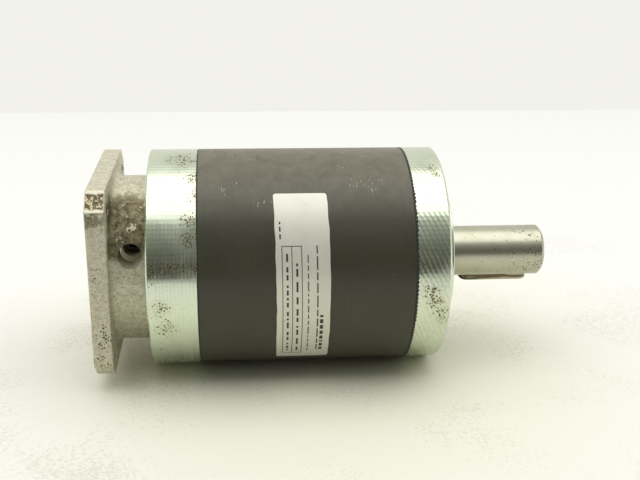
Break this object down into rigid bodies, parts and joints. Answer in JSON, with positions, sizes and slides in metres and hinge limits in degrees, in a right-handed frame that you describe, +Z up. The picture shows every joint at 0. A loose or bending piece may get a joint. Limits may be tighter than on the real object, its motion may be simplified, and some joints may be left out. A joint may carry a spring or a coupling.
{
  "type": "planetary gearbox",
  "caption": "Two-stage inline planetary gearbox: steel body between turned covers, keyed output shaft, square motor adapter with a clamp hub inside.",
  "frame": {"origin": "centre of the output mounting face, on the common axis", "axes": "+X along the common axis out of the output end, +Z up, Y and Z parallel to the sides of the square motor plate"},
  "size_m": [0.2203, 0.105, 0.105],
  "materials": {
    "black_steel": "black oxide, satin",
    "zinc_steel": "turned, bright zinc plated",
    "cast_aluminium": "sand cast, machined faces",
    "ground_steel": "ground",
    "key_steel": "drawn bright",
    "gear_steel": "case hardened, ground flanks",
    "carrier_steel": "machined",
    "bearing_steel": "ground and polished",
    "spring_steel": "phosphated",
    "screw_steel": "black oxide",
    "bronze": "sintered",
    "cage_brass": "machined",
    "seal_rubber": "moulded"
  },
  "bodies": {
    "housing": {"gear_body": "black_steel", "front_cover": "zinc_steel", "rear_cover": "zinc_steel", "motor_adapter": "cast_aluminium", "front_cover_screws": "screw_steel", "rear_cover_screws": "screw_steel", "adapter_screws": "screw_steel", "output_shaft_seal": "seal_rubber", "input_shaft_seal": "seal_rubber", "front_sealing_ring": "seal_rubber", "rear_sealing_ring": "seal_rubber", "bearing_spacer": "carrier_steel", "front_bearing_bore_circlip": "spring_steel", "input_bearing_bore_circlip": "spring_steel", "front_bearing_outer_ring": "bearing_steel", "inner_bearing_outer_ring": "bearing_steel", "input_bearing_outer_ring": "bearing_steel"},
    "output": {"output_shaft_carrier": "ground_steel", "output_key": "key_steel", "second_planet_pins": "bearing_steel", "second_thrust_washers": "bronze", "front_bearing_inner_ring": "bearing_steel", "inner_bearing_inner_ring": "bearing_steel", "front_bearing_shaft_circlip": "spring_steel", "inner_bearing_shaft_circlip": "spring_steel"},
    "middle": {"middle_carrier": "carrier_steel", "second_sun": "gear_steel", "second_sun_circlip": "spring_steel", "first_planet_pins": "bearing_steel", "first_thrust_washers": "bronze"},
    "input": {"input_hub": "carrier_steel", "first_sun": "gear_steel", "clamp_screw": "screw_steel", "input_bearing_inner_ring": "bearing_steel", "input_bearing_hub_circlip": "spring_steel"},
    "second_planet_1": {"second_planet_1": "gear_steel", "second_planet_bush_1": "bronze"},
    "second_planet_2": {"second_planet_2": "gear_steel", "second_planet_bush_2": "bronze"},
    "second_planet_3": {"second_planet_3": "gear_steel", "second_planet_bush_3": "bronze"},
    "first_planet_1": {"first_planet_1": "gear_steel", "first_planet_bush_1": "bronze"},
    "first_planet_2": {"first_planet_2": "gear_steel", "first_planet_bush_2": "bronze"},
    "first_planet_3": {"first_planet_3": "gear_steel", "first_planet_bush_3": "bronze"},
    "front_rollers": {"front_bearing_rollers": "bearing_steel", "front_bearing_cage": "cage_brass"},
    "inner_rollers": {"inner_bearing_rollers": "bearing_steel", "inner_bearing_cage": "cage_brass"},
    "input_rollers": {"input_bearing_rollers": "bearing_steel", "input_bearing_cage": "cage_brass"}
  },
  "joints": [
    {"name": "output_spin", "type": "hinge", "parent": "housing", "child": "output", "pos_m": [0, 0, 0], "axis": [1, 0, 0], "continuous": true},
    {"name": "middle_spin", "type": "hinge", "parent": "housing", "child": "middle", "pos_m": [0, 0, 0], "axis": [1, 0, 0], "continuous": true},
    {"name": "input_spin", "type": "hinge", "parent": "housing", "child": "input", "pos_m": [0, 0, 0], "axis": [1, 0, 0], "continuous": true},
    {"name": "second_planet_1_spin", "type": "hinge", "parent": "output", "child": "second_planet_1", "pos_m": [-0.0682, 0.02531, 0], "axis": [1, 0, 0], "continuous": true},
    {"name": "second_planet_2_spin", "type": "hinge", "parent": "output", "child": "second_planet_2", "pos_m": [-0.0682, -0.01266, 0.02192], "axis": [1, 0, 0], "continuous": true},
    {"name": "second_planet_3_spin", "type": "hinge", "parent": "output", "child": "second_planet_3", "pos_m": [-0.0682, -0.01266, -0.02192], "axis": [1, 0, 0], "continuous": true},
    {"name": "first_planet_1_spin", "type": "hinge", "parent": "middle", "child": "first_planet_1", "pos_m": [-0.1007, 0.027, 0], "axis": [1, 0, 0], "continuous": true},
    {"name": "first_planet_2_spin", "type": "hinge", "parent": "middle", "child": "first_planet_2", "pos_m": [-0.1007, -0.0135, 0.02338], "axis": [1, 0, 0], "continuous": true},
    {"name": "first_planet_3_spin", "type": "hinge", "parent": "middle", "child": "first_planet_3", "pos_m": [-0.1007, -0.0135, -0.02338], "axis": [1, 0, 0], "continuous": true},
    {"name": "front_roller_orbit", "type": "hinge", "parent": "housing", "child": "front_rollers", "pos_m": [0, 0, 0], "axis": [1, 0, 0], "continuous": true},
    {"name": "inner_roller_orbit", "type": "hinge", "parent": "housing", "child": "inner_rollers", "pos_m": [0, 0, 0], "axis": [1, 0, 0], "continuous": true},
    {"name": "input_roller_orbit", "type": "hinge", "parent": "housing", "child": "input_rollers", "pos_m": [0, 0, 0], "axis": [1, 0, 0], "continuous": true}
  ],
  "couplings": [
    {"joint": "middle_spin", "follows": "output_spin", "ratio": 5},
    {"joint": "input_spin", "follows": "output_spin", "ratio": 20},
    {"joint": "second_planet_1_spin", "follows": "output_spin", "ratio": -2.6667},
    {"joint": "second_planet_2_spin", "follows": "output_spin", "ratio": -2.6667},
    {"joint": "second_planet_3_spin", "follows": "output_spin", "ratio": -2.6667},
    {"joint": "first_planet_1_spin", "follows": "output_spin", "ratio": -15},
    {"joint": "first_planet_2_spin", "follows": "output_spin", "ratio": -15},
    {"joint": "first_planet_3_spin", "follows": "output_spin", "ratio": -15},
    {"joint": "front_roller_orbit", "follows": "output_spin", "ratio": 0.42391},
    {"joint": "inner_roller_orbit", "follows": "output_spin", "ratio": 0.43333},
    {"joint": "input_roller_orbit", "follows": "output_spin", "ratio": 8.9691}
  ]
}
